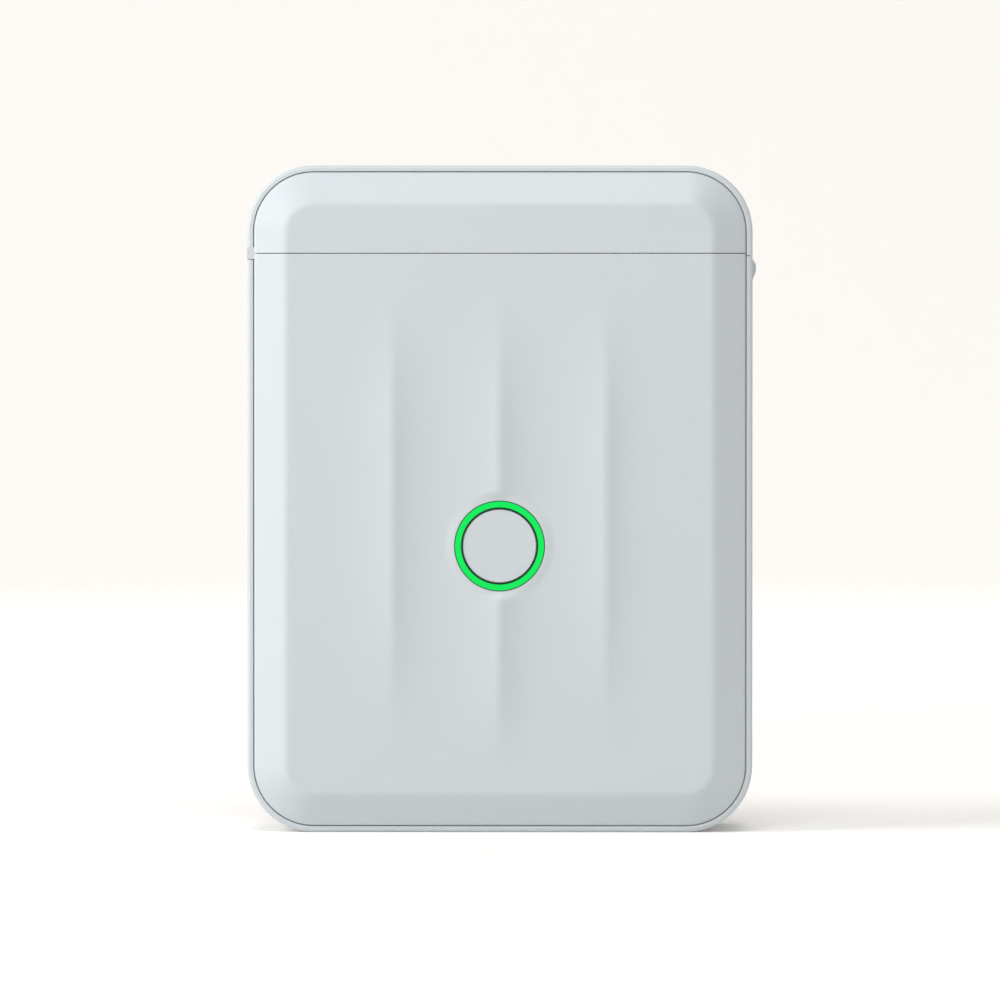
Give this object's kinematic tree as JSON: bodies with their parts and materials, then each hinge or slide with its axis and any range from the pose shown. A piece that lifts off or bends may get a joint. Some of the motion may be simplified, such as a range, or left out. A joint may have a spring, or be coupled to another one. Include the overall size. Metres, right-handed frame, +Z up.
{
  "type": "label printer",
  "caption": "Pocket thermal label printer: rounded upright case, flip-up lid with latch button, ringed power button, roll bay, print head, platen and gear train.",
  "frame": {"origin": "middle of the flat base, on the surface that the printer stands on", "axes": "+X to the right seen from the front, +Y from the front to the back, +Z up"},
  "size_m": [0.0757, 0.0298, 0.099],
  "materials": {
    "shell_plastic": "satin",
    "light_plastic": "polished",
    "dark_plastic": "matte",
    "frame_plastic": "matte",
    "gear_plastic": "matte",
    "brass": "satin",
    "steel": "satin",
    "rubber": "matte",
    "aluminium": "satin",
    "ceramic": "polished",
    "board": "satin",
    "lights": "polished",
    "cell_wrap": "satin",
    "foam": "matte"
  },
  "bodies": {
    "case": {"battery": "cell_wrap", "battery_pad": "foam", "board_chips": "dark_plastic", "board_screws": "steel", "case_screws": "steel", "drive_motor": "steel", "front_head_spring": "steel", "front_shell": "shell_plastic", "gear_axles": "steel", "head_pivot": "steel", "hinge_pin": "steel", "label_bay": "frame_plastic", "label_sensor": "dark_plastic", "light_ring": "light_plastic", "main_board": "board", "motor_screws": "steel", "port_board": "board", "power_switch": "dark_plastic", "rear_head_spring": "steel", "rear_shell": "shell_plastic", "release_spring": "steel", "ring_lights": "lights", "usb_port": "steel"},
    "lid": {"lid_front": "shell_plastic", "lid_rear": "shell_plastic", "lid_screws": "steel", "platen_carrier": "frame_plastic", "platen_bushes": "gear_plastic", "tear_edge": "steel"},
    "platen": {"platen_roller": "rubber", "platen_shaft": "steel", "platen_gear": "gear_plastic"},
    "release": {"release_button": "shell_plastic"},
    "power_key": {"power_button": "shell_plastic", "switch_plunger": "dark_plastic"},
    "head": {"heat_sink": "aluminium", "print_head": "ceramic"},
    "motor_rotor": {"motor_pinion": "brass"},
    "step": {"step_gear": "gear_plastic"},
    "idler": {"idler_gear": "gear_plastic"}
  },
  "joints": [
    {"name": "lid_hinge", "type": "hinge", "parent": "case", "child": "lid", "pos_m": [-0.0369, 0, 0.086], "axis": [0, -1, 0], "range_deg": [0, 100]},
    {"name": "platen_spin", "type": "hinge", "parent": "lid", "child": "platen", "pos_m": [0.019, 0, 0.089], "axis": [0, 1, 0], "continuous": true},
    {"name": "release_push", "type": "slide", "parent": "case", "child": "release", "axis": [-1, 0, 0], "range_m": [0, 0.0012], "stiffness_N_per_m": 200, "deforming": ["release_spring"]},
    {"name": "power_push", "type": "slide", "parent": "case", "child": "power_key", "axis": [0, 1, 0], "range_m": [0, 0.0004], "stiffness_N_per_m": 400},
    {"name": "head_swing", "type": "hinge", "parent": "case", "child": "head", "pos_m": [0.02465, 0, 0.075], "axis": [0, 1, 0], "range_deg": [0, 2.5], "stiffness_Nm_per_rad": 0.05, "deforming": ["front_head_spring", "rear_head_spring"]},
    {"name": "step_spin", "type": "hinge", "parent": "case", "child": "step", "pos_m": [0.02108, 0, 0.07217], "axis": [0, 1, 0], "continuous": true},
    {"name": "motor_spin", "type": "hinge", "parent": "case", "child": "motor_rotor", "pos_m": [0.02435, 0, 0.0632], "axis": [0, 1, 0], "continuous": true},
    {"name": "idler_spin", "type": "hinge", "parent": "case", "child": "idler", "pos_m": [0.019, 0, 0.07995], "axis": [0, 1, 0], "continuous": true}
  ],
  "couplings": [
    {"joint": "motor_spin", "follows": "step_spin", "ratio": -2.8},
    {"joint": "idler_spin", "follows": "step_spin", "ratio": -0.6},
    {"joint": "platen_spin", "follows": "step_spin", "ratio": 0.75}
  ]
}
